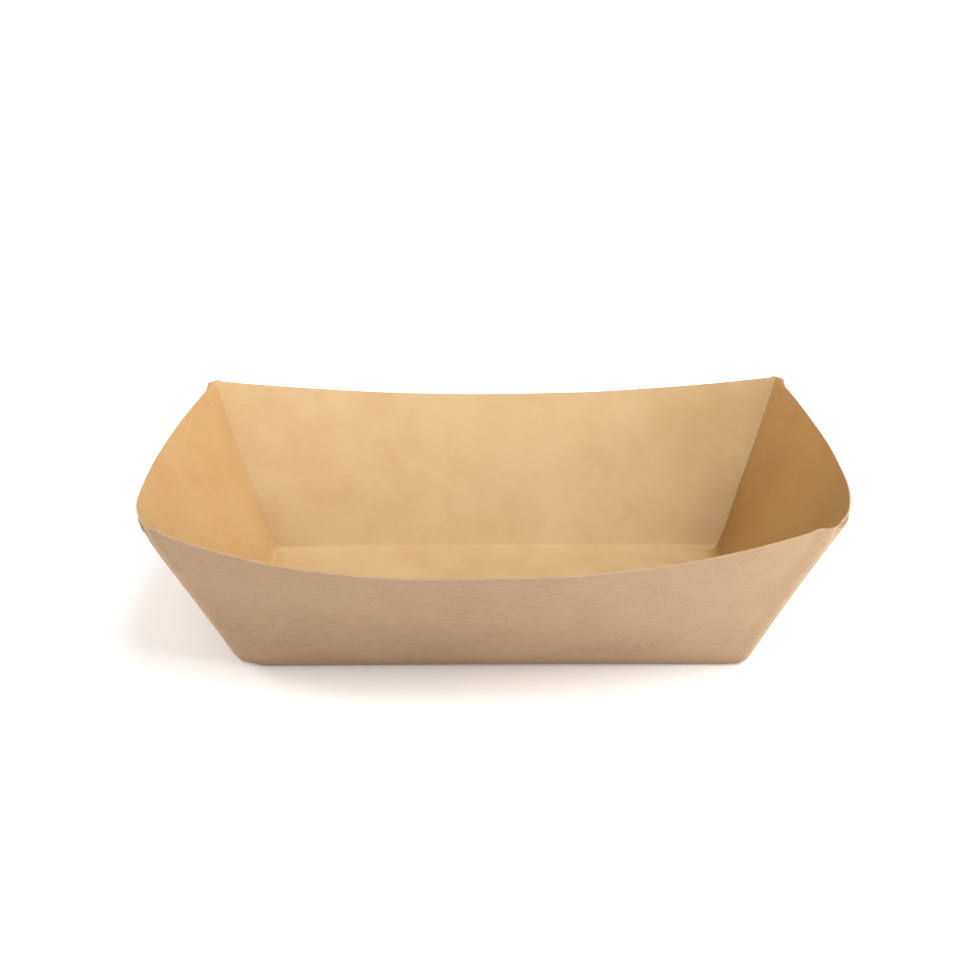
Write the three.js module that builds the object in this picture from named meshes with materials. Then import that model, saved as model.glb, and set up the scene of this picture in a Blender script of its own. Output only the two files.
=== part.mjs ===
import * as THREE from "three";

// Open food tray folded from one sheet of board, in millimetres.
// It stands on z = 0 with its long walls along X, its ends facing X and +Z up.

const baseLength = 120; // end crease to end crease
const baseWidth = 66; // side crease to side crease
const rimLength = 152; // rim corner to rim corner, along X
const rimWidth = 98.4; // rim corner to rim corner, along Y
const cornerHeight = 43.2; // rim corners above the floor's upper face
const boardThickness = 0.45;
const creaseReach = 1.3; // how far each bend runs into the floor and up the wall
const sideBow = 10.2; // a long wall's rim leans out this much more at its middle
const sideDip = 7.9; // and lies this much lower there
const sideBowPower = 2.9; // above 2 the bow is flat in the middle and turns hard near the corners
const sideDipPower = 2.4;
const endBow = 10.1; // the same for an end wall's rim
const endDip = 7.8;
const endBowPower = 2;
const endDipPower = 1.8;
const flapRimDrop = 1; // top of a folded corner flap below the end wall's rim
const flapFootWidth = 3; // a flap starts this wide at the bottom corner

const flapLayers = 2; // the web is folded once, so it lies on the end wall twice
const sideSteps = 28; // facets along a long wall's inner face
const endSteps = 12; // facets along the bare middle of an end wall
const flapSteps = 4; // facets across a flap
const cornerSteps = 4; // facets round an outer corner
const foldSteps = 4; // facets round a flap's folded edge
const bendSteps = 4; // facets round a crease at the floor
const wallSteps = 4; // facets up a wall
const keysPerMillimetre = 10000; // points closer than one key apart are one point

const nearby = 1e-4; // share of a line's height over which its direction is taken
const down = new THREE.Vector3(0, 0, -1);

// The web is what is left of the full turn round a base corner beside floor and walls.
// It is folded in half onto the end wall, so its fold stands at half the web's angle there.
function flapRimWidth() {
  const rise = new THREE.Vector3((rimLength - baseLength) / 2, (rimWidth - baseWidth) / 2, cornerHeight);
  const slant = rise.length();
  const floorAngle = Math.PI / 2;
  const sideAngle = Math.PI - Math.acos(rise.x / slant);
  const endAngle = Math.PI - Math.acos(rise.y / slant);
  const foldAngle = (2 * Math.PI - floorAngle - sideAngle - endAngle) / 2;
  return (slant * Math.sin(foldAngle)) / Math.sin(endAngle - foldAngle);
}

function bow(share, power) {
  return 1 - Math.abs(share) ** power;
}

// A line runs up a wall's inner face, from its crease at height 0 to its rim at height 1.
// Shares count along a wall: 1 and -1 are its corners and 0 is its middle.
function sideLine(share) {
  const foot = new THREE.Vector3((share * baseLength) / 2, baseWidth / 2, boardThickness);
  const top = new THREE.Vector3(
    (share * rimLength) / 2,
    rimWidth / 2 + sideBow * bow(share, sideBowPower),
    boardThickness + cornerHeight - sideDip * bow(share, sideDipPower),
  );
  return (height) => foot.clone().lerp(top, height);
}

// A line of the end wall at -X, straight as seen from the end between two distances from its middle.
function endLine(footDistance, topDistance) {
  return (height) => {
    const distance = between(footDistance, topDistance, height);
    const share = (2 * distance) / between(baseWidth, rimWidth, height);
    const bowedOut = rimLength / 2 + endBow * bow(share, endBowPower);
    const rimHeight = cornerHeight - endDip * bow(share, endDipPower);
    return new THREE.Vector3(
      -between(baseLength / 2, bowedOut, height),
      distance,
      boardThickness + height * rimHeight,
    );
  };
}

function steps(count, make) {
  return Array.from({ length: count + 1 }, (_, i) => make(i / count));
}

function between(from, to, share) {
  return from + (to - from) * share;
}

function sideLines() {
  return steps(sideSteps, (share) => sideLine(between(1, -1, share)));
}

// The end wall at -X from corner to corner: a flap, the bare middle, the other flap.
function endLines() {
  const cornerFoot = baseWidth / 2;
  const cornerTop = rimWidth / 2;
  const foldFoot = cornerFoot - flapFootWidth;
  const foldTop = cornerTop - flapRimWidth();
  const fan = (count, feet, tops) =>
    steps(count, (share) => endLine(between(...feet, share), between(...tops, share)));
  return [
    ...fan(flapSteps, [cornerFoot, foldFoot], [cornerTop, foldTop]),
    ...fan(endSteps, [foldFoot, -foldFoot], [foldTop, -foldTop]).slice(1),
    ...fan(flapSteps, [-foldFoot, -cornerFoot], [-foldTop, -cornerTop]).slice(1),
  ];
}

function upOn(line, height) {
  return line(height + nearby).sub(line(height - nearby)).normalize();
}

// Outward normal of a wall on one of its lines, square to the line and to its neighbours.
function normalOn(lines, index, height) {
  const before = lines[Math.max(index - 1, 0)](height);
  const after = lines[Math.min(index + 1, lines.length - 1)](height);
  return after.sub(before).cross(upOn(lines[index], height)).normalize();
}

// Where two faces meet that lie this far out from the corner line along their own normals.
function meeting(normalA, offsetA, normalB, offsetB) {
  const cosine = normalA.dot(normalB);
  const square = 1 - cosine * cosine;
  const alongA = (offsetA - cosine * offsetB) / square;
  const alongB = (offsetB - cosine * offsetA) / square;
  return normalA.clone().multiplyScalar(alongA).addScaledVector(normalB, alongB);
}

function rounded(start, corner, end, share) {
  const first = start.clone().lerp(corner, share);
  const second = corner.clone().lerp(end, share);
  return first.lerp(second, share);
}

// A column is one line with the way its outer face lies off it.
// `normal` is the sheet's own, `layers` is what lies on the sheet, `cap` the same above a flap's top.
function bareColumn(lines, index) {
  const nothing = () => new THREE.Vector3();
  return {
    line: lines[index],
    normal: (height) => normalOn(lines, index, height),
    layers: nothing,
    cap: nothing,
  };
}

function flapColumn(lines, index) {
  const column = bareColumn(lines, index);
  const depth = flapLayers * boardThickness;
  column.layers = (height) => column.normal(height).multiplyScalar(depth);
  return column;
}

// The folded edge of a flap is half round. `side` is 1 where the wall's middle comes after the fold.
function foldColumns(lines, index, side) {
  const radius = (flapLayers * boardThickness) / 2;
  return steps(foldSteps, (share) => {
    const column = bareColumn(lines, index);
    const turn = side * Math.PI * (share - 0.5);
    column.layers = (height) => {
      const normal = column.normal(height);
      const inwards = upOn(lines[index], height).cross(normal).multiplyScalar(side);
      const out = normal.multiplyScalar(radius - radius * Math.sin(turn));
      return out.addScaledVector(inwards, radius * Math.cos(turn));
    };
    return column;
  });
}

// Round an outer corner, from the last line of one wall to the first of the next.
// Where the walls meet bluntly, the outer layer only reaches its full depth some way along the thick wall.
function cornerColumns(before, after, layersBefore, layersAfter) {
  const last = before.length - 1;
  const outerFace = (height, share, hereDepth, thereDepth) => {
    const here = normalOn(before, last, height);
    const there = normalOn(after, 0, height);
    const up = upOn(after[0], height);
    const back = here.clone().cross(up);
    const onward = up.clone().cross(there);
    const fullHere = boardThickness * (1 + layersBefore);
    const fullThere = boardThickness * (1 + layersAfter);
    const fullCorner = meeting(here, fullHere, there, fullThere);
    const hereReach = boardThickness + Math.max(fullCorner.dot(back), 0);
    const thereReach = boardThickness + Math.max(fullCorner.dot(onward), 0);
    const start = here.clone().multiplyScalar(hereDepth).addScaledVector(back, hereReach);
    const end = there.clone().multiplyScalar(thereDepth).addScaledVector(onward, thereReach);
    return rounded(start, meeting(here, hereDepth, there, thereDepth), end, share);
  };
  return steps(cornerSteps, (share) => {
    const normal = (height) => normalOn(before, last, height).add(normalOn(after, 0, height)).normalize();
    const offSheet = (height, hereLayers, thereLayers) => {
      const hereDepth = boardThickness * (1 + hereLayers);
      const thereDepth = boardThickness * (1 + thereLayers);
      const face = outerFace(height, share, hereDepth, thereDepth);
      return face.addScaledVector(normal(height), -boardThickness);
    };
    return {
      line: after[0],
      normal,
      layers: (height) => offSheet(height, layersBefore, layersAfter),
      cap: (height) => offSheet(height, 0, 0),
    };
  });
}

// Columns of a long wall, a corner, an end wall and the next corner, anticlockwise from above.
function halfRing() {
  const side = sideLines();
  const end = endLines();
  const nextSide = side.map(halfTurn);
  const fold = flapSteps;
  const otherFold = end.length - 1 - flapSteps;
  const inner = (lines, from, to, make) => lines.slice(from, to).map((_, i) => make(lines, from + i));
  return [
    ...inner(side, 1, side.length - 1, bareColumn),
    ...cornerColumns(side, end, 0, flapLayers),
    ...inner(end, 1, fold, flapColumn),
    ...foldColumns(end, fold, 1),
    ...inner(end, fold + 1, otherFold, bareColumn),
    ...foldColumns(end, otherFold, -1),
    ...inner(end, otherFold + 1, end.length - 1, flapColumn),
    ...cornerColumns(end, nextSide, flapLayers, 0),
  ];
}

function turned(point) {
  return new THREE.Vector3(-point.x, -point.y, point.z);
}

function halfTurn(line) {
  return (height) => turned(line(height));
}

// Points up the inner face, over the rim and down the outer face of one column.
function profile(column) {
  const foot = column.line(0);
  const slant = column.line(1).distanceTo(foot);
  const bendTop = creaseReach / slant;
  const flapTop = 1 - flapRimDrop / slant;
  const floor = new THREE.Vector3(
    foot.x * (1 - (2 * creaseReach) / baseLength),
    foot.y * (1 - (2 * creaseReach) / baseWidth),
    foot.z,
  );
  const inside = [];
  const outside = [];
  for (let step = 0; step <= bendSteps; step += 1) {
    const share = step / bendSteps;
    const point = rounded(floor, foot, column.line(bendTop), share);
    const sheet = down.clone().lerp(column.normal(bendTop), share).setLength(boardThickness);
    const layers = column.layers(bendTop).multiplyScalar(share * share);
    inside.push(point);
    outside.push(point.clone().add(sheet).add(layers));
  }
  const heights = steps(wallSteps, (share) => between(bendTop, flapTop, share)).slice(1);
  for (const height of heights) {
    const point = column.line(height);
    const sheet = column.normal(height).multiplyScalar(boardThickness);
    inside.push(point);
    outside.push(point.clone().add(sheet).add(column.layers(height)));
  }
  for (const height of [flapTop, 1]) {
    const point = column.line(height);
    const sheet = column.normal(height).multiplyScalar(boardThickness);
    inside.push(point);
    outside.push(point.clone().add(sheet).add(column.cap(height)));
  }
  return [...inside, ...outside.reverse()];
}

// Collects triangles over shared points and leaves out those that have shrunk to a line.
function surface() {
  const positions = [];
  const faces = [];
  const known = new Map();
  const pointIndex = (point) => {
    const key = point.toArray().map((value) => Math.round(value * keysPerMillimetre)).join();
    if (!known.has(key)) {
      known.set(key, positions.length / 3);
      positions.push(...point.toArray());
    }
    return known.get(key);
  };
  const triangle = (a, b, c) => {
    const corners = [a, b, c].map(pointIndex);
    if (new Set(corners).size === 3) {
      faces.push(...corners);
    }
  };
  return { positions, faces, triangle };
}

function addWalls(skin, profiles) {
  profiles.forEach((here, i) => {
    const next = profiles[(i + 1) % profiles.length];
    for (let row = 0; row + 1 < here.length; row += 1) {
      skin.triangle(here[row], here[row + 1], next[row]);
      skin.triangle(next[row], here[row + 1], next[row + 1]);
    }
  });
}

function withoutRepeats(loop) {
  const apart = 2 / keysPerMillimetre;
  return loop.filter((point, i) => point.distanceTo(loop[(i + 1) % loop.length]) > apart);
}

// Fills a flat loop. `facing` is 1 for a face that looks up and -1 for one that looks down.
function addFloor(skin, loop, facing) {
  const points = withoutRepeats(loop);
  const outline = points.map((point) => new THREE.Vector2(point.x, point.y));
  for (const [a, b, c] of THREE.ShapeUtils.triangulateShape(outline, [])) {
    const area = THREE.ShapeUtils.area([outline[a], outline[b], outline[c]]);
    const corners = area * facing > 0 ? [a, b, c] : [a, c, b];
    skin.triangle(...corners.map((index) => points[index]));
  }
}

function trayGeometry() {
  const half = halfRing().map(profile);
  const otherHalf = half.map((points) => points.map(turned));
  const profiles = [...half, ...otherHalf];
  const skin = surface();
  addFloor(skin, profiles.map((points) => points[points.length - 1]), -1);
  addFloor(skin, profiles.map((points) => points[0]), 1);
  addWalls(skin, profiles);
  const geometry = new THREE.BufferGeometry();
  geometry.setAttribute("position", new THREE.Float32BufferAttribute(skin.positions, 3));
  geometry.setIndex(skin.faces);
  geometry.computeVertexNormals();
  return geometry;
}

const board = new THREE.MeshStandardMaterial({ color: 0xc9a678, roughness: 0.9, metalness: 0 });
const tray = new THREE.Mesh(trayGeometry(), board);
tray.name = "tray";

const part = new THREE.Group();
part.name = "food_tray";
part.add(tray);

export default part;
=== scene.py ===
"""The look of the folded board tray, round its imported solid.

Lengths are in millimetres until a mesh is made. Lights, floor and camera are in metres.
"""

import math

import bpy
import numpy as np
from mathutils import Matrix, Vector


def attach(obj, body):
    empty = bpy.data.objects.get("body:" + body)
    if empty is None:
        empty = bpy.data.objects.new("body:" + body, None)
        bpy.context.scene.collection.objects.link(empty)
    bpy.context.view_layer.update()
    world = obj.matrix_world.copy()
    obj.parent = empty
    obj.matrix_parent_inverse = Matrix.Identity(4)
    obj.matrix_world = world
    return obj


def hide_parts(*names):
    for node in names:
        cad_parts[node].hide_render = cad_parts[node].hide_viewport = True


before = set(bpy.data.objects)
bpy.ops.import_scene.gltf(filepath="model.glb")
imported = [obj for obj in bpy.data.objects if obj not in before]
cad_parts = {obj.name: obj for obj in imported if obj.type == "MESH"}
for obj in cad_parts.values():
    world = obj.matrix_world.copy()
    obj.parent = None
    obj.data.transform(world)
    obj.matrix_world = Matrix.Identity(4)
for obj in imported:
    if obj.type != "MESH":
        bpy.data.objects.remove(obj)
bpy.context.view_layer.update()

MM = 0.001

# sizes of the folded sheet, as in the part's source
BASE_LENGTH = 120.0
BASE_WIDTH = 66.0
RIM_LENGTH = 152.0
RIM_WIDTH = 98.4
CORNER_HEIGHT = 43.2
THICKNESS = 0.45
CREASE_REACH = 1.3
SIDE_BOW, SIDE_BOW_POWER = 10.2, 2.9
SIDE_DIP, SIDE_DIP_POWER = 7.9, 2.4
END_BOW, END_BOW_POWER = 10.1, 2.0
END_DIP, END_DIP_POWER = 7.8, 1.8
FLAP_FOOT = 3.0
FLAP_LAYERS = 2

# the flaps' tops stay further below the rim than in the part
FLAP_DROP = 1.6

# the front rim's bow is stronger to the left of its middle, and so is its dip
FRONT_BOW_SKEW = -0.061
FRONT_DIP_SKEW = -0.1

# how far in the front corners sit, at foot and rim, by the sign of x
FRONT_NARROW = {-1: (1.5, 0.45), 1: (2.1, 0.75)}

# the uneven rim by the front corners: each bump's place, height and spread
RIM_BUMPS = {
    -1: ((2.2, 0.6, 1.3), (-0.6, -0.3, 1.0)),
    1: ((0.2, -0.75, 2.2), (4.0, 0.35, 1.2)),
}

# how far each foot corner is pressed in, by the signs of x and y, and which way at +X and +Y
CRUSH = {(-1, -1): 0.95, (1, -1): 0.3, (-1, 1): 0.5, (1, 1): 0.4}
CRUSH_REACH = 2.9
CRUSH_WAY = (-0.75, -0.25, 0.6)

# the layers are pressed flat this far down from the rim's corners, and this far along it
PRESS_REACH = 6.0
PRESS_WIDTH = 7.0

# the floor and its long creases arch up a little, the middle of the floor by half as much again
FLOOR_LIFT = 0.35
FLOOR_DOME = 0.5

# the end panel's folded edge inside a corner: round, sunk and slightly wavy
SEAM_ROUND = 0.8
SEAM_DEPTH = 0.45
SEAM_SHARE = 0.2  # of a corner's columns, those that go down into the seam
SEAM_GROW, SEAM_FADE = 6, 8  # how fast the seam opens above the foot and closes at the rim
SEAM_WOBBLE = 0.45
SEAM_WOBBLE_PACE = 160
SEAM_SEED = 11

# slow unevenness of the walls, at its full height from RIPPLE_RISE above the table
RIPPLE = 0.22
RIPPLE_RISE = 14.0
RIPPLE_LEAN = (0.6, 0.8)
RIPPLE_SEED = 5

FOLD_ROUND = 1.1  # how far from its outer corner a folded corner starts to turn
ROUND_ROOM = 0.85  # the most of the way to the next line that it may take
EDGE_SOFT = 0.07  # worn corners of the cut edges
GROOVE = 0.05  # half the gap that shows between two glued layers
GROOVE_DEPTH = 3  # of such a gap, in EDGE_SOFT
WEAR_AND_HIGHLIGHT_FADE = 1.6  # how fast the paling, partly rubbing and partly a painted highlight, fades to both sides of a folded corner
LEFT_PANEL_SHADE = 0.47  # how much of the right end panel's painted shade, a deeper and more orange tone, the left one has

WAVE_COUNT = 5
WAVE_LENGTHS = (24, 60)
WAVE_PEAK = 3  # about the most that the waves add up to

# how finely each stretch is cut
SIDE_STEPS = 150
END_STEPS = 56
FLAP_STEPS = 20
CORNER_STEPS = 10
FOLD_STEPS = 8
BEND_STEPS = 8
WALL_STEPS = 26
FLOOR_RINGS = 14
SIDE_SKIP, FLAP_SKIP = 2, 4  # lines left out by a corner, where its rounding lies
SLOPE_STEP = 1e-4  # of the height, for a slope
SHARP_ANGLE = 38

FLOOR_SHRINK = np.array(
    [1 - 2 * CREASE_REACH / BASE_LENGTH, 1 - 2 * CREASE_REACH / BASE_WIDTH, 1.0])
SPINE = (BASE_LENGTH - BASE_WIDTH) / 2  # half the middle line that the floor's faces run in to
FLAP_TURN = 0.87  # how far a flap is turned on the blank
BLANK_UNIT = 100.0

INNER, EDGE, OUTER = 0, 1, 2
DOWN = np.array([0.0, 0.0, -1.0])


def between(a, b, share):
    return a + (b - a) * share


def bow(share, power, skew=0.0):
    return (1 - np.abs(share) ** power) * (1 + skew * share)


def unit(v):
    return v / np.linalg.norm(v, axis=-1, keepdims=True)


def dot(a, b):
    return (a * b).sum(-1, keepdims=True)


def smooth(share):
    share = np.clip(share, 0, 1)
    return share * share * (3 - 2 * share)


def rounded(start, corner, end, share):
    return between(between(start, corner, share), between(corner, end, share), share)


def waves(a, b, seed):
    """A few slow waves over two lengths, between about -1 and 1."""
    rng = np.random.default_rng(seed)
    total = 0.0
    for _ in range(WAVE_COUNT):
        turn = rng.uniform(0, math.tau)
        pace = math.tau / rng.uniform(*WAVE_LENGTHS)
        way = pace * (a * math.cos(turn) + b * math.sin(turn))
        total = total + np.sin(way + rng.uniform(0, math.tau))
    return total / WAVE_PEAK


def lift(x):
    return FLOOR_LIFT * np.clip(1 - (2 * x / BASE_LENGTH) ** 2, 0, 1)


def bumps(along, x_sign):
    """How far the rim rises by a front corner.

    along is the way from the corner, onto the long wall where it is positive.
    """
    return sum(
        height * np.exp(-((along - place) / spread) ** 2)
        for place, height, spread in RIM_BUMPS[x_sign])


def side_line(share, y_sign):
    """A line up a long wall's inner face. Share 1 is the corner at +X."""
    front = y_sign < 0
    bow_skew = FRONT_BOW_SKEW if front else 0.0
    dip_skew = FRONT_DIP_SKEW if front else 0.0
    x_sign = 1 if share > 0 else -1
    narrow_foot, narrow_rim = FRONT_NARROW[x_sign] if front else (0.0, 0.0)
    uneven = bumps((1 - abs(share)) * RIM_LENGTH / 2, x_sign) if front else 0.0
    out = SIDE_BOW * bow(share, SIDE_BOW_POWER, bow_skew)
    dip = SIDE_DIP * bow(share, SIDE_DIP_POWER, dip_skew)
    foot_x = share * BASE_LENGTH / 2
    foot = np.array([
        foot_x - share * narrow_foot,
        y_sign * BASE_WIDTH / 2,
        THICKNESS + lift(foot_x),
    ])
    top = np.array([
        share * (RIM_LENGTH / 2 - narrow_rim),
        y_sign * (RIM_WIDTH / 2 + out),
        THICKNESS + CORNER_HEIGHT - dip + uneven,
    ])

    def line(height):
        height = np.asarray(height, float)[..., None]
        return foot * (1 - height) + top * height

    return line


def end_line(foot_y, top_y, x_sign):
    """A line up an end wall's inner face, between these two places across it."""
    def line(height):
        height = np.asarray(height, float)
        y = between(foot_y, top_y, height)
        share = 2 * y / between(BASE_WIDTH, RIM_WIDTH, height)
        out = RIM_LENGTH / 2 + END_BOW * bow(share, END_BOW_POWER)
        dipped = CORNER_HEIGHT - END_DIP * bow(share, END_DIP_POWER)
        rim = dipped + bumps(-(1 + share) * RIM_WIDTH / 2, x_sign)
        narrow = between(*FRONT_NARROW[x_sign], height) * (1 - share) / 2
        x = x_sign * (between(BASE_LENGTH / 2, out, height) - narrow)
        return np.stack([x, y, THICKNESS + height * rim], -1)

    return line


def flap_rim_width():
    """How far a flap reaches along the rim, from the angle of the folded web."""
    rise = np.array([(RIM_LENGTH - BASE_LENGTH) / 2, (RIM_WIDTH - BASE_WIDTH) / 2, CORNER_HEIGHT])
    slant = np.linalg.norm(rise)
    side = math.pi - math.acos(rise[0] / slant)
    end = math.pi - math.acos(rise[1] / slant)
    fold = (1.5 * math.pi - side - end) / 2
    return slant * math.sin(fold) / math.sin(end - fold)


def up_on(line, height):
    return unit(line(height + SLOPE_STEP) - line(height - SLOPE_STEP))


def normal_on(lines, i, height):
    """The outward direction at one of a wall's lines."""
    before = lines[max(i - 1, 0)](height)
    after = lines[min(i + 1, len(lines) - 1)](height)
    return unit(np.cross(after - before, up_on(lines[i], height)))


def meeting(normal_a, offset_a, normal_b, offset_b):
    """Where two faces meet, each moved out along its normal."""
    cosine = dot(normal_a, normal_b)
    square = 1 - cosine**2
    along_a = normal_a * ((offset_a - cosine * offset_b) / square)
    along_b = normal_b * ((offset_b - cosine * offset_a) / square)
    return along_a + along_b


def pressed(line, height, away):
    """How much of its thickness the layering keeps, where away is the way from the corner."""
    down = (1 - np.asarray(height)) * np.linalg.norm(line(1.0) - line(0.0))
    return (1 - (1 - smooth(down / PRESS_REACH)) * (1 - smooth(away / PRESS_WIDTH)))[..., None]


class Column:
    """One line of the sheet and what lies on its two faces, as functions of the height.

    cap, layers and inside move points off the sheet: at the rim, on its outer face and on its
    inner face. Height runs from 0 at the foot to 1 at the rim.
    """

    def __init__(self, line, normal):
        self.line = line
        self.normal = normal
        self.layers = lambda height: np.zeros(np.shape(height) + (3,))
        self.cap = self.layers
        self.inside = self.layers
        self.layered = False
        self.tag = "end"
        self.wear_and_highlight = 0.0
        self.middle = math.copysign(SPINE, line(0.0)[0])
        # the end panels' insides get painted shade, a deeper and more orange tone: fully on the
        # right, less on the left
        self.panel = 1.0 if line(0.0)[0] > 0 else LEFT_PANEL_SHADE


def bare(lines, i):
    """A column of a wall's single sheet."""
    return Column(lines[i], lambda height: normal_on(lines, i, height))


def on_side(column, share):
    """The column as part of a long wall, at this share of its length."""
    column.tag = "side"
    column.middle = share * SPINE
    column.panel = 0.0
    return column


def flap(lines, i, place):
    """A column of the layered part, place counting from the corner."""
    column = bare(lines, i)
    away = place / FLAP_STEPS * flap_rim_width()

    def layers(height):
        outwards = normal_on(lines, i, height)
        return outwards * (FLAP_LAYERS * THICKNESS) * pressed(lines[i], height, away)

    column.layers = layers
    column.layered = True
    column.tag = "flap"
    return column


def folds(lines, i, side):
    """Columns round the folded edge of a flap, where its two layers are one bent sheet."""
    radius = FLAP_LAYERS * THICKNESS / 2

    def one(share):
        column = bare(lines, i)
        turn = side * math.pi * (share - 0.5)

        def layers(height):
            normal = normal_on(lines, i, height)
            inwards = side * np.cross(up_on(lines[i], height), normal)
            return normal * (radius - radius * math.sin(turn)) + inwards * (radius * math.cos(turn))

        column.layers = layers
        return column

    return [one(k / FOLD_STEPS) for k in range(FOLD_STEPS + 1)]


def corner(before, after, layers_before, layers_after):
    """Columns round a corner, from one wall's lines to the next wall's.

    Inside, the end panel's folded edge turns away from the long wall's face.
    """
    last = len(before) - 1
    line = after[0]
    near_before = before[last - (FLAP_SKIP if layers_before else SIDE_SKIP)]
    near_after = after[FLAP_SKIP if layers_after else SIDE_SKIP]

    def ways(height):
        """Outwards from each wall, then back along the first and onward along the second."""
        here = normal_on(before, last, height)
        there = normal_on(after, 0, height)
        up = up_on(line, height)
        return here, there, np.cross(here, up), np.cross(up, there)

    def from_side(share):
        """The way round the corner, counted from the long wall."""
        return share if layers_after else 1 - share

    def reach(height, mitre, neighbour):
        """Where the rounding starts, short of the next line of the sheet."""
        gap = np.linalg.norm(neighbour(height) - line(height), axis=-1, keepdims=True)
        mitre = np.maximum(mitre, 0)
        return np.maximum(np.minimum(FOLD_ROUND + mitre, ROUND_ROOM * gap), mitre)

    def outer(height, share, here_depth, there_depth):
        """The rounded outside, for faces this far out from the sheet's line."""
        here, there, back, onward = ways(height)
        full = meeting(here, THICKNESS * (1 + layers_before), there, THICKNESS * (1 + layers_after))
        start = here * here_depth + back * reach(height, dot(full, back), near_before)
        end = there * there_depth + onward * reach(height, dot(full, onward), near_after)
        return rounded(start, meeting(here, here_depth, there, there_depth), end, share)

    def inner(height, share):
        """Down into the seam beside the long wall, then over the panel's folded edge."""
        _, _, back, onward = ways(height)
        wall, panel = (back, onward) if layers_after else (onward, back)
        height = np.asarray(height)[..., None]
        grow = np.clip(height * SEAM_GROW, 0, 1)
        fade = np.clip((1 - height) * SEAM_FADE, 0, 1)
        wobble = 1 + SEAM_WOBBLE * waves(height * SEAM_WOBBLE_PACE, line(0.0)[0], SEAM_SEED)
        deep = wall * (-SEAM_DEPTH * grow * fade * wobble)
        turned = panel * (SEAM_ROUND * grow * fade * between(0.5, 1.0, height))
        way = from_side(share)
        if way <= SEAM_SHARE:
            return deep * (way / SEAM_SHARE)
        return rounded(deep, deep * 0, turned, (way - SEAM_SHARE) / (1 - SEAM_SHARE))

    def one(share):
        def normal(height):
            return unit(normal_on(before, last, height) + normal_on(after, 0, height))

        def off_sheet(height, here_layers, there_layers):
            here_depth, there_depth = THICKNESS * (1 + here_layers), THICKNESS * (1 + there_layers)
            return outer(height, share, here_depth, there_depth) - normal(height) * THICKNESS

        def layers(height):
            thick = off_sheet(height, layers_before, layers_after)
            return between(off_sheet(height, 0, 0), thick, pressed(line, height, 0.0))

        column = Column(line, normal)
        column.cap = lambda height: off_sheet(height, 0, 0)
        column.layers = layers
        column.inside = lambda height: inner(height, share)
        # the folded corner is paled: rubbed fibres, and partly a painted highlight
        column.wear_and_highlight = max(0.0, 1 - WEAR_AND_HIGHLIGHT_FADE * abs(2 * share - 1))
        if from_side(share) <= SEAM_SHARE:
            column.panel = 0.0
        return column

    return [one(k / CORNER_STEPS) for k in range(CORNER_STEPS + 1)]


def side_shares(y_sign):
    return np.linspace(1, -1, SIDE_STEPS + 1) * y_sign


def side_lines(y_sign):
    return [side_line(share, y_sign) for share in side_shares(y_sign)]


def end_lines(x_sign):
    """Lines up an end wall: fanned over the flap, then the single sheet, then the other flap."""
    foot, top = BASE_WIDTH / 2, RIM_WIDTH / 2
    fold_foot, fold_top = foot - FLAP_FOOT, top - flap_rim_width()
    down_y = -x_sign

    def fan(count, feet, tops):
        return [(between(*feet, k / count), between(*tops, k / count)) for k in range(count + 1)]

    pairs = fan(FLAP_STEPS, (foot, fold_foot), (top, fold_top))
    pairs += fan(END_STEPS, (fold_foot, -fold_foot), (fold_top, -fold_top))[1:]
    pairs += fan(FLAP_STEPS, (-fold_foot, -foot), (-fold_top, -top))[1:]
    return [end_line(down_y * a, down_y * b, x_sign) for a, b in pairs]


def ring():
    """All columns, anticlockwise from above: the wall at +Y, the end at -X, then the others."""
    back, left, front, right = side_lines(1), end_lines(-1), side_lines(-1), end_lines(1)
    last = len(left) - 1
    fold, other = FLAP_STEPS, last - FLAP_STEPS
    columns = []
    for side, end, next_side, y_sign in ((back, left, front, 1), (front, right, back, -1)):
        shares = side_shares(y_sign)
        kept = range(SIDE_SKIP, len(side) - SIDE_SKIP)
        columns += [on_side(bare(side, i), shares[i]) for i in kept]
        columns += corner(side, end, 0, FLAP_LAYERS)
        columns += [flap(end, i, i) for i in range(FLAP_SKIP, fold)]
        columns += folds(end, fold, 1)
        columns += [bare(end, i) for i in range(fold + 1, other)]
        columns += folds(end, other, -1)
        columns += [flap(end, i, last - i) for i in range(other + 1, last + 1 - FLAP_SKIP)]
        columns += corner(end, next_side, FLAP_LAYERS, 0)
    return columns


def ripple(points):
    """Slow unevenness of the walls, fading out at the floor."""
    x, y, z = points.T
    rise = np.clip(z / RIPPLE_RISE, 0, 1)
    lean_x, lean_y = RIPPLE_LEAN
    return RIPPLE * rise * waves(x + lean_x * z, y + lean_y * z, RIPPLE_SEED)


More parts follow.
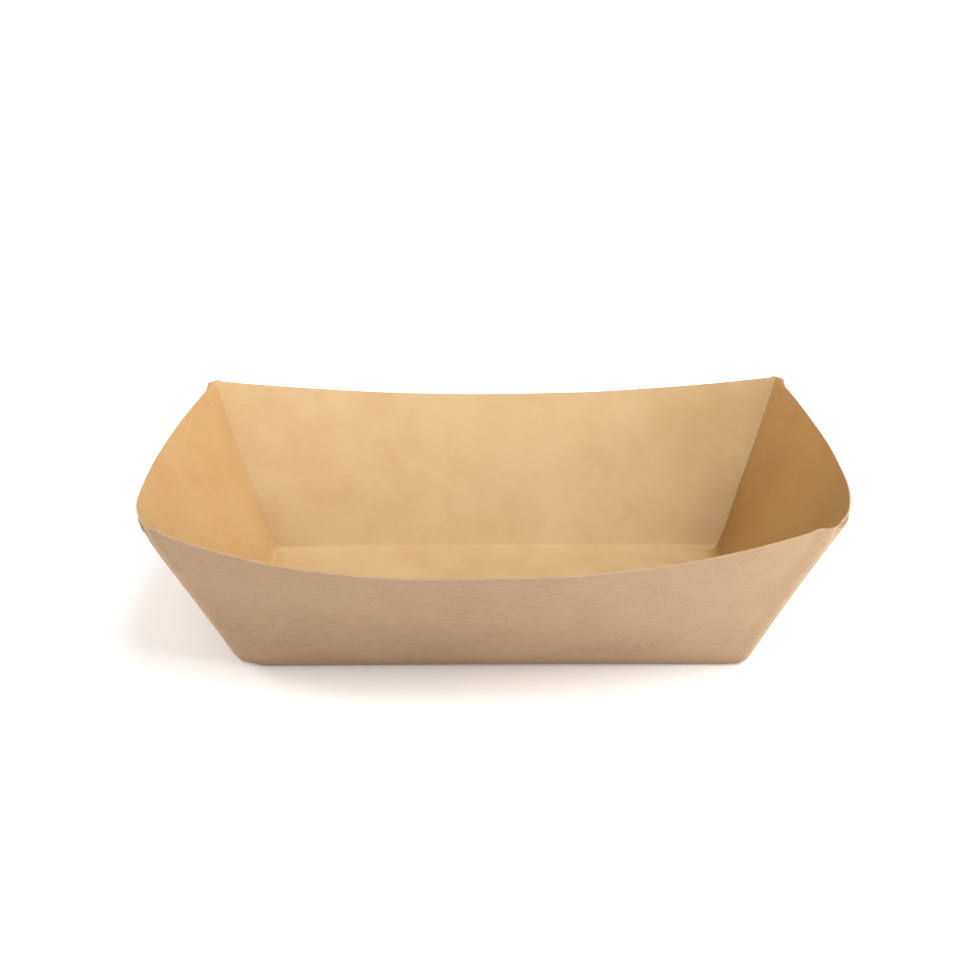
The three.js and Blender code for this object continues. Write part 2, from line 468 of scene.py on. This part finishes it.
def profile(column):
    """Points up the inner face, over the rim and down the outer face, and the faces' kinds."""
    foot = column.line(0.0)
    slant = np.linalg.norm(column.line(1.0) - foot)
    bend_top = CREASE_REACH / slant
    flap_top = 1 - FLAP_DROP / slant
    soft = EDGE_SOFT / slant

    share = np.linspace(0, 1, BEND_STEPS + 1)[:, None]
    bend = rounded(foot * FLOOR_SHRINK, foot, column.line(bend_top), share)
    sheet = unit(between(DOWN, column.normal(bend_top), share)) * THICKNESS
    bend_inside = bend + column.inside(bend_top) * share**2
    bend_outside = bend + sheet + column.layers(bend_top) * share**2

    heights = between(bend_top, flap_top, np.linspace(0, 1, WALL_STEPS + 1)[1:])
    wall = column.line(heights)
    normal = column.normal(heights)
    shift = normal * ripple(wall)[:, None]
    wall_inside = wall + shift + column.inside(heights)
    wall_outside = wall + shift + normal * THICKNESS + column.layers(heights)

    def at(height, depth, layered):
        """A point at this share of the way through the sheet, or through the layers on it."""
        height = np.array([height])
        point = column.line(height)
        normal = column.normal(height)
        point = point + normal * ripple(point)[:, None]
        if layered:
            lower = point + (normal * THICKNESS + column.cap(height))
            upper = point + normal * THICKNESS + column.layers(height)
        else:
            lower = point + column.inside(height)
            upper = point + normal * THICKNESS + column.cap(height)
        return between(lower, upper, depth)

    if column.layered:
        gap = GROOVE / (FLAP_LAYERS * THICKNESS)
        groove = -GROOVE_DEPTH * soft
        steps = (
            (0, groove), (gap / 2, 0), (gap, soft), (0.5 - gap, soft), (0.5 - gap / 2, 0),
            (0.5, groove), (0.5 + gap / 2, 0), (0.5 + gap, soft), (1 - gap, soft), (1, 0),
        )
    else:
        steps = [(0, 0)] * 3 + [(1, 0)] * 7
    ledge = [at(flap_top + drop, depth, True) for depth, drop in steps]

    soft_depth = EDGE_SOFT / THICKNESS
    rim = [
        at(1 - soft, 0, False),
        at(1, soft_depth, False),
        at(1, 1 - soft_depth, False),
        at(1 - soft, 1, False),
    ]
    rows = [bend_inside, wall_inside, *rim, *ledge, wall_outside[::-1], bend_outside[::-1]]
    wall_count = len(bend) + len(wall)
    kinds = [INNER] * wall_count + [EDGE] * (len(rim) - 1)
    kinds += [OUTER] + [EDGE] * (len(ledge) - 1) + [OUTER] * wall_count
    return np.vstack(rows), kinds


def blank_place(points, tag):
    """Where points of the folded sheet lie on the flat blank, in tenths of a metre."""
    x, y, z = points[:, 0], points[:, 1], np.clip(points[:, 2] - THICKNESS, 0, None)

    def unrolled(across, base):
        """The way out over the floor and then up the wall."""
        out = np.clip(np.abs(across) - base / 2, 0, None)
        return np.sign(across) * (np.minimum(np.abs(across), base / 2) + np.hypot(out, z))

    if tag == "side":
        flat = np.stack([x, unrolled(y, BASE_WIDTH)], -1)
    elif tag == "floor":
        flat = np.stack([x, y], -1)
    else:
        flat = np.stack([unrolled(x, BASE_LENGTH), y], -1)
    if tag == "flap":
        cosine, sine = math.cos(FLAP_TURN), math.sin(FLAP_TURN)
        flat = flat @ np.array([[cosine, sine], [-sine, cosine]])
    return flat / BLANK_UNIT


class Shell:
    """Faces over shared points, each with the kind of surface it is and the wall it is on."""

    def __init__(self):
        self.points = []
        self.known = {}
        self.faces = []
        self.kinds = []
        self.tags = []
        self.looks = []

    def index(self, point, look=(0.0, 0.0)):
        """The number of a point, made if it is new. look is its paling at the folds, partly rubbed
        and partly a painted highlight, and its share of the end panels' painted shade.
        """
        key = tuple(np.round(point, 4))
        if key not in self.known:
            self.known[key] = len(self.points)
            self.points.append(point)
            self.looks.append(look)
        return self.known[key]

    def face(self, loop, kind, tag):
        """A face without repeated points, left out where it has shrunk to a line."""
        kept = [v for k, v in enumerate(loop) if v != loop[k - 1]]
        if len(kept) == len(set(kept)) >= 3:
            self.faces.append(kept)
            self.kinds.append(kind)
            self.tags.append(tag)

    def fill(self, loop, middles, kind, turn):
        """Shrinks the floor's outline in rings towards its middle line, arched like its edges."""
        kept = [k for k, v in enumerate(loop) if v != loop[k - 1]]
        previous = [loop[k] for k in kept]
        edge = np.array([self.points[v] for v in previous])
        middle = np.array([(middles[k], 0, 0) for k in kept])
        level = edge[0, 2] - lift(edge[0, 0] / FLOOR_SHRINK[0])
        for k in range(1, FLOOR_RINGS + 1):
            share = k / FLOOR_RINGS
            points = between(edge, middle, share)
            arch = lift(points[:, 0] / FLOOR_SHRINK[0])
            points[:, 2] = level + arch * (1 + FLOOR_DOME * share)
            new = [self.index(point) for point in points]
            for a in range(len(previous)):
                b = (a + 1) % len(previous)
                ids = [previous[a], previous[b], new[b], new[a]]
                self.face(ids if turn > 0 else ids[::-1], kind, "floor")
            previous = new


def tray_shell():
    """The whole sheet: a strip of faces between each column and the next, and two floors."""
    columns = ring()
    shell = Shell()
    ids = []
    for column in columns:
        rows, kinds = profile(column)
        ids.append([shell.index(point, (column.wear_and_highlight, column.panel)) for point in rows])
    for i, here in enumerate(ids):
        following = (i + 1) % len(ids)
        after = ids[following]
        tags = {columns[i].tag, columns[following].tag}
        for j, kind in enumerate(kinds):
            tag = "side" if "side" in tags else "end"
            if "flap" in tags and kind == OUTER:
                tag = "flap"
            shell.face([here[j], here[j + 1], after[j + 1], after[j]], kind, tag)
    middles = [column.middle for column in columns]
    shell.fill([rows[0] for rows in ids], middles, INNER, 1)
    shell.fill([rows[-1] for rows in ids], middles, OUTER, -1)
    return shell


def crushed(points):
    """The points with the four foot corners pressed in and up, as a tray that has been handled."""
    moved = points.copy()
    for (x_sign, y_sign), depth in CRUSH.items():
        x = x_sign * (BASE_LENGTH / 2 - (FRONT_NARROW[x_sign][0] if y_sign < 0 else 0))
        tip = np.array([x, y_sign * BASE_WIDTH / 2, 0])
        near = np.exp(-(np.linalg.norm(points - tip, axis=1) / CRUSH_REACH) ** 2)
        moved += near[:, None] * depth * (np.array(CRUSH_WAY) * (x_sign, y_sign, 1))
    return moved


def placed(name, data):
    """A new object of the scene."""
    thing = bpy.data.objects.new(name, data)
    bpy.context.scene.collection.objects.link(thing)
    return thing


def build_object():
    shell = tray_shell()
    points = crushed(np.array(shell.points))
    mesh = bpy.data.meshes.new("folded_tray")
    mesh.from_pydata([tuple(point * MM) for point in points], [], shell.faces)
    mesh.polygons.foreach_set("material_index", shell.kinds)
    flat = mesh.uv_layers.new(name="blank").data
    for polygon, tag in zip(mesh.polygons, shell.tags, strict=True):
        places = blank_place(points[list(polygon.vertices)], tag)
        for loop, place in zip(polygon.loop_indices, places, strict=True):
            flat[loop].uv = place
    # point attributes: the folds' paling, partly a painted highlight, and the end panels' painted
    # shade
    for k, name in enumerate(("wear_and_highlight", "panel")):
        values = mesh.attributes.new(name, "FLOAT", "POINT").data
        values.foreach_set("value", [look[k] for look in shell.looks])
    mesh.shade_smooth()
    mesh.set_sharp_from_angle(angle=math.radians(SHARP_ANGLE))
    mesh.update()
    return placed("folded_tray", mesh)


# colours in sRGB, 0 to 255: dark, middle, light, pale fibre and dark fleck
INSIDE_TONES = (172, 139, 95), (177, 146, 104), (180, 152, 111), (190, 165, 126), (152, 116, 72)
OUTSIDE_TONES = (138, 110, 82), (144, 116, 88), (149, 122, 94), (170, 147, 118), (104, 76, 52)
EDGE_TONES = (150, 118, 86), (156, 125, 94), (162, 132, 102), (176, 150, 122), (126, 94, 66)
# painted shade at the foot of the outside, where the board turns under towards the floor
LOW_SHADE_TONE = (134, 100, 72)
# painted shade: a deeper, more orange tone multiplied onto the end panels' insides, standing for
# shade and bounced light
PANEL_SHADE_TINT = (0.84, 0.6, 0.25, 1)
WHITE = (1, 1, 1, 1)

# scales of the patterns: those per metre of the folded tray, and the grain on the blank
BROAD_SCALE = 26
BLOTCH_SCALE = 95
RUB_AND_HIGHLIGHT_SCALE = 900
GRAIN_SCALE = 420

# where one tone passes into the next, on the sum of the soft patterns
DARK_TO_MIDDLE = (0.38, 0.52)
MIDDLE_TO_LIGHT = (0.5, 0.64)

# felted fibres: length, then the direction in degrees and the width of each layer
FIBRE_LENGTH = 3.2
FIBRE_LAYERS = ((12, 0.2), (-28, 0.26), (74, 0.24))
FIBRE_RISE = (1.1, 1.9)  # where the layers' sum counts as fibre

# length, width, share of the cells and direction in degrees of the short bits
THREADS = ((2.2, 0.35, 0.3, 64), (2.0, 0.32, 0.3, -38))
SPECKS = ((2.4, 0.7, 0.1, 20), (0.8, 2.0, 0.1, 10))
BIT_EDGE = (0.1, 0.28)  # where a bit fades out in its cell
PICK_SOFT = 0.02

# how the fine grain darkens the board, and how patchily the folds are paled, partly rubbed and
# partly a painted highlight
GRAIN_FALL = (0.35, 0.65)
GRAIN_DARK = 0.1
RUB_AND_HIGHLIGHT_RISE = (0.3, 0.6)
RUB_AND_HIGHLIGHT_RANGE = (0.1, 0.7)

# painted shade: the darker foot fades out between these heights in metres
LOW_SHADE_FADE = (0.0002, 0.0045)
LOW_SHADE_SHARE = 0.4
ROUGHNESS_SPREAD = 0.06
BUMP_DISTANCE = 0.00008
BOARD_SPECULAR = 0.28


def srgb(red, green, blue):
    """The linear colour of an sRGB colour given in 0 to 255."""
    def linear(value):
        value /= 255
        return value / 12.92 if value <= 0.04045 else ((value + 0.055) / 1.055) ** 2.4

    return (linear(red), linear(green), linear(blue), 1.0)


class Nodes:
    """Short calls for building one material's nodes."""

    def __init__(self, name):
        self.material = bpy.data.materials.new(name)
        self.material.use_nodes = True
        self.tree = self.material.node_tree
        self.shader = self.tree.nodes["Principled BSDF"]

    def add(self, kind, inputs=(), **settings):
        node = self.tree.nodes.new(kind)
        for key, value in settings.items():
            setattr(node, key, value)
        for key, value in dict(inputs).items():
            socket = node.inputs[key]
            if isinstance(value, bpy.types.NodeSocket):
                self.tree.links.new(value, socket)
            else:
                socket.default_value = value
        return node

    def noise(self, place, scale, detail=3.0, roughness=0.55):
        inputs = {"Vector": place, "Scale": scale, "Detail": detail, "Roughness": roughness}
        return self.add("ShaderNodeTexNoise", inputs).outputs["Fac"]

    def stretched(self, place, degrees, scale):
        inputs = {"Vector": place, "Rotation": (0, 0, math.radians(degrees)), "Scale": scale}
        return self.add("ShaderNodeMapping", inputs).outputs["Vector"]

    def band(self, value, low, high, to_low=0.0, to_high=1.0):
        """The value's way from low to high, kept inside them."""
        inputs = {
            "Value": value, "From Min": low, "From Max": high, "To Min": to_low, "To Max": to_high,
        }
        return self.add("ShaderNodeMapRange", inputs, clamp=True).outputs["Result"]

    def math(self, kind, a, b):
        return self.add("ShaderNodeMath", {0: a, 1: b}, operation=kind).outputs[0]

    def mix(self, factor, a, b, blend="MIX"):
        """Two colours mixed. 6, 7 and 2 are the node's colour sockets."""
        inputs = {"Factor": factor, 6: a, 7: b}
        node = self.add("ShaderNodeMix", inputs, data_type="RGBA", blend_type=blend)
        return node.outputs[2]

    def attribute(self, name):
        return self.add("ShaderNodeAttribute", attribute_name=name).outputs["Fac"]

    def space(self):
        return self.add("ShaderNodeTexCoord").outputs["Object"]

    def link(self, value, socket):
        self.tree.links.new(value, self.shader.inputs[socket])

    def gloss(self, specular):
        self.shader.inputs["Specular IOR Level"].default_value = specular


def fibre_layers(n, place):
    """Long thin streaks in three directions, as felted fibres lie, between 0 and 1."""
    total = None
    for degrees, width in FIBRE_LAYERS:
        scale = (BLANK_UNIT / FIBRE_LENGTH, BLANK_UNIT / width, 1)
        streaks = n.noise(n.stretched(place, degrees, scale), 1.0, 2.0)
        total = streaks if total is None else n.math("ADD", total, streaks)
    return n.band(total, *FIBRE_RISE)


def flecks(n, place, length, width, share, degrees):
    """Short dark or pale fibre bits: a few of the cells of a stretched pattern."""
    spot = n.stretched(place, degrees, (BLANK_UNIT / length, BLANK_UNIT / width, 1))
    cells = n.add("ShaderNodeTexVoronoi", {"Vector": spot, "Scale": 1.0, "Randomness": 1.0})
    near = n.band(cells.outputs["Distance"], *BIT_EDGE, 1.0, 0.0)
    pick = n.add("ShaderNodeSeparateColor", {"Color": cells.outputs["Color"]}).outputs[0]
    return n.math("MULTIPLY", near, n.band(pick, 1 - share, 1 - share + PICK_SOFT))


def board_material(
    name, tones, fibre_share, fleck_share, roughness, bump, foot_shade_tone=None, panel_shade_tint=None,
):
    """Uncoated board. tones are its dark, middle, light, pale fibre and dark fleck colours.

    The low tone is painted shade at the foot, and brings paler folds, partly rubbed and partly a
    painted highlight; the panel tint is painted shade on the end panels.
    """
    n = Nodes(name)
    dark, middle, light, pale, fleck = (srgb(*tone) for tone in tones)
    place = n.add("ShaderNodeUVMap", uv_map="blank").outputs["UV"]
    space = n.space()
    broad = n.noise(space, BROAD_SCALE, 3.0, 0.5)
    blotch = n.noise(space, BLOTCH_SCALE, 4.0, 0.6)
    cloud = n.math("ADD", n.math("MULTIPLY", broad, 0.5), n.math("MULTIPLY", blotch, 0.5))
    grain = n.noise(place, GRAIN_SCALE, 2.0, 0.6)
    fibres = fibre_layers(n, place)
    threads = n.math("MAXIMUM", *(flecks(n, place, *bits) for bits in THREADS))
    specks = n.math("MAXIMUM", *(flecks(n, place, *bits) for bits in SPECKS))

    colour = n.mix(n.band(cloud, *DARK_TO_MIDDLE), dark, middle)
    colour = n.mix(n.band(cloud, *MIDDLE_TO_LIGHT), colour, light)
    # painted shade on the end panels' insides
    if panel_shade_tint is not None:
        shade_tint = n.mix(n.attribute("panel"), WHITE, panel_shade_tint)
        colour = n.mix(1.0, colour, shade_tint, "MULTIPLY")
    colour = n.mix(n.math("MULTIPLY", fibres, fibre_share), colour, pale)
    colour = n.mix(n.math("MULTIPLY", threads, fibre_share), colour, pale)
    colour = n.mix(n.math("MULTIPLY", specks, fleck_share), colour, fleck)
    colour = n.mix(n.band(grain, *GRAIN_FALL, GRAIN_DARK, 0.0), colour, fleck)
    if foot_shade_tone is not None:
        # painted shade: darker towards the foot
        height = n.add("ShaderNodeSeparateXYZ", {"Vector": space}).outputs["Z"]
        colour = n.mix(n.band(height, *LOW_SHADE_FADE, LOW_SHADE_SHARE, 0.0), colour, srgb(*foot_shade_tone))
        # paler folded corners: rubbed fibres, and partly a painted highlight
        patchy = n.band(n.noise(space, RUB_AND_HIGHLIGHT_SCALE, 2.0, 0.6), *RUB_AND_HIGHLIGHT_RISE, *RUB_AND_HIGHLIGHT_RANGE)
        colour = n.mix(n.math("MULTIPLY", n.attribute("wear_and_highlight"), patchy), colour, pale)
    n.link(colour, "Base Color")

    uneven = n.math("ADD", grain, fibres)
    smoothest, roughest = roughness - ROUGHNESS_SPREAD, roughness + ROUGHNESS_SPREAD
    n.link(n.band(uneven, 0.4, 1.5, smoothest, roughest), "Roughness")
    relief = n.math("ADD", n.math("MULTIPLY", grain, 0.6), n.math("MULTIPLY", fibres, 0.5))
    inputs = {"Height": relief, "Strength": bump, "Distance": BUMP_DISTANCE}
    n.link(n.add("ShaderNodeBump", inputs).outputs["Normal"], "Normal")
    n.gloss(BOARD_SPECULAR)
    return n.material


tray = build_object()
for material in (
    board_material(
        "board_inside", INSIDE_TONES, fibre_share=0.25, fleck_share=0.15, roughness=0.62, bump=0.3,
        panel_shade_tint=PANEL_SHADE_TINT),
    board_material(
        "board_cut_edge", EDGE_TONES, fibre_share=0.4, fleck_share=0.3, roughness=0.85, bump=0.6),
    board_material(
        "board_outside", OUTSIDE_TONES, fibre_share=0.6, fleck_share=0.4, roughness=0.8, bump=0.6,
        foot_shade_tone=LOW_SHADE_TONE),
):
    tray.data.materials.append(material)
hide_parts("tray")
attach(tray, "root")


def add_floor():
    """A wide sheet of nearly white paper under the tray."""
    half = 20.0
    dim, bright = (0.9, 0.9, 0.9, 1), (0.93, 0.93, 0.93, 1)
    corners = [(-half, -half, 0), (half, -half, 0), (half, half, 0), (-half, half, 0)]
    mesh = bpy.data.meshes.new("studio_floor")
    mesh.from_pydata(corners, [], [(0, 1, 2, 3)])
    floor = placed("studio_floor", mesh)
    n = Nodes("studio_paper")
    n.link(n.mix(n.noise(n.space(), 3, 2.0), dim, bright), "Base Color")
    n.shader.inputs["Roughness"].default_value = 0.95
    n.gloss(0.05)
    mesh.materials.append(n.material)


def aimed(light, back):
    """Turns a light so that it shines from the direction back."""
    light.rotation_euler = Vector(back).to_track_quat("Z", "Y").to_euler()


def add_sun(name, towards, strength, softness):
    """A large soft source far off in the direction towards, softness degrees across."""
    data = bpy.data.lights.new(name, "SUN")
    data.energy = strength
    data.angle = math.radians(softness)
    aimed(placed(name, data), towards)


def add_near_light(name, place, target, size, power):
    """A square soft light near the object, size metres across."""
    data = bpy.data.lights.new(name, "AREA")
    data.energy = power
    data.size = size
    light = placed(name, data)
    light.location = place
    aimed(light, Vector(place) - Vector(target))


def add_camera():
    """The camera fitted to the photograph: focal length in pixels, place, pitch, heading, roll."""
    focal, picture_width = 1759.7, 960
    sensor_width = 36
    pitch, heading, roll = 0.3882, 0.0213, -0.0138
    data = bpy.data.cameras.new("photo_camera")
    data.sensor_width = sensor_width
    data.lens = focal * sensor_width / picture_width
    data.clip_start = 0.01
    camera = placed("photo_camera", data)
    place = Matrix.Translation((0.0052, -0.40258, 0.1988))
    turn = Matrix.Rotation(heading, 4, "Z") @ Matrix.Rotation(math.pi / 2 - pitch, 4, "X")
    camera.matrix_world = place @ turn @ Matrix.Rotation(roll, 4, "Z")
    bpy.context.scene.camera = camera


def add_world():
    """A pale room: bright along the horizon, dimmer overhead."""
    horizon_top, overhead_start = 0.06, 0.16
    horizon_strength, overhead_strength = 1.0, 0.27
    world = bpy.data.worlds.new("studio")
    world.use_nodes = True
    tree = world.node_tree
    way = tree.nodes.new("ShaderNodeTexCoord")
    height = tree.nodes.new("ShaderNodeSeparateXYZ")
    level = tree.nodes.new("ShaderNodeMapRange")
    background = tree.nodes["Background"]
    tree.links.new(way.outputs["Generated"], height.inputs["Vector"])
    tree.links.new(height.outputs["Z"], level.inputs["Value"])
    tree.links.new(level.outputs["Result"], background.inputs["Strength"])
    level.inputs["From Min"].default_value = horizon_top
    level.inputs["From Max"].default_value = overhead_start
    level.inputs["To Min"].default_value = horizon_strength
    level.inputs["To Max"].default_value = overhead_strength
    background.inputs["Color"].default_value = WHITE
    bpy.context.scene.world = world


add_floor()
add_world()
add_sun("high_right", towards=(0.55, -0.15, 0.82), strength=3.75, softness=60)
add_sun("low_front", towards=(0.1, -0.95, 0.35), strength=1.05, softness=40)
add_sun("high_left", towards=(-0.4, -0.5, 0.8), strength=0.8, softness=50)
add_near_light("near_right", (0.32, -0.17, 0.05), (0.04, -0.04, 0.02), size=0.12, power=0.78)
add_near_light("low_left", (-0.30, 0.10, 0.06), (-0.06, 0.0, 0.0), size=0.15, power=0.8)
add_camera()
bpy.context.scene.view_settings.view_transform = "Standard"
